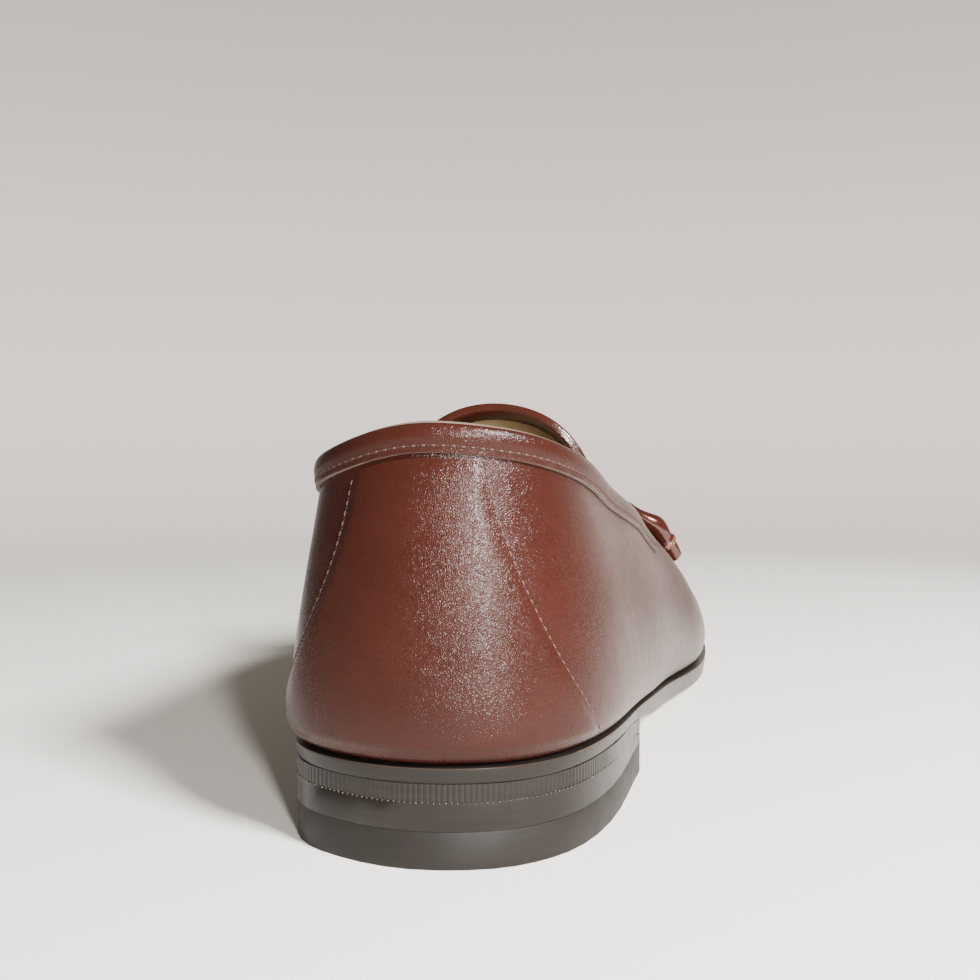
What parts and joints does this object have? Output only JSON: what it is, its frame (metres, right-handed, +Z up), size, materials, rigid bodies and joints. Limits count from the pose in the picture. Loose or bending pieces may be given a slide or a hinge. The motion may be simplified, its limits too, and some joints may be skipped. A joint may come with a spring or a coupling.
{
  "type": "bit loafer",
  "caption": "Right slip-on loafer with a smooth calf upper, a raised heel counter, a rolled collar, a plain snaffle bit over the instep strap and a stacked heel.",
  "frame": {"origin": "centre of the heel's flat bottom face, on the floor, half the heel's length in front of the back of the sole", "axes": "+X to the outer side of the foot, +Y to the toe, +Z up from the floor"},
  "size_m": [0.0991, 0.2978, 0.0847],
  "materials": {
    "calf": "fine grained red-brown calf with a satin polish",
    "binding": "rolled and polished dark brown binding",
    "lining": "matt olive lining leather",
    "sole_edge": "waxed dark grey-brown sole edge",
    "top_piece": "matt dark rubber",
    "bit": "polished and lacquered brown"
  },
  "bodies": {
    "root": {"outsole": "sole_edge", "heel_rand": "sole_edge", "heel_lift": "sole_edge", "heel_top_piece": "top_piece", "upper": "calf", "heel_counter": "calf", "collar_band": "calf", "apron_seam": "calf", "strap": "calf", "keeper_outer": "calf", "keeper_inner": "calf", "tongue": "calf", "tongue_binding": "binding", "insole": "lining", "bit_bar_outer": "bit", "bit_bar_inner": "bit", "bit_link": "bit"}
  },
  "joints": []
}
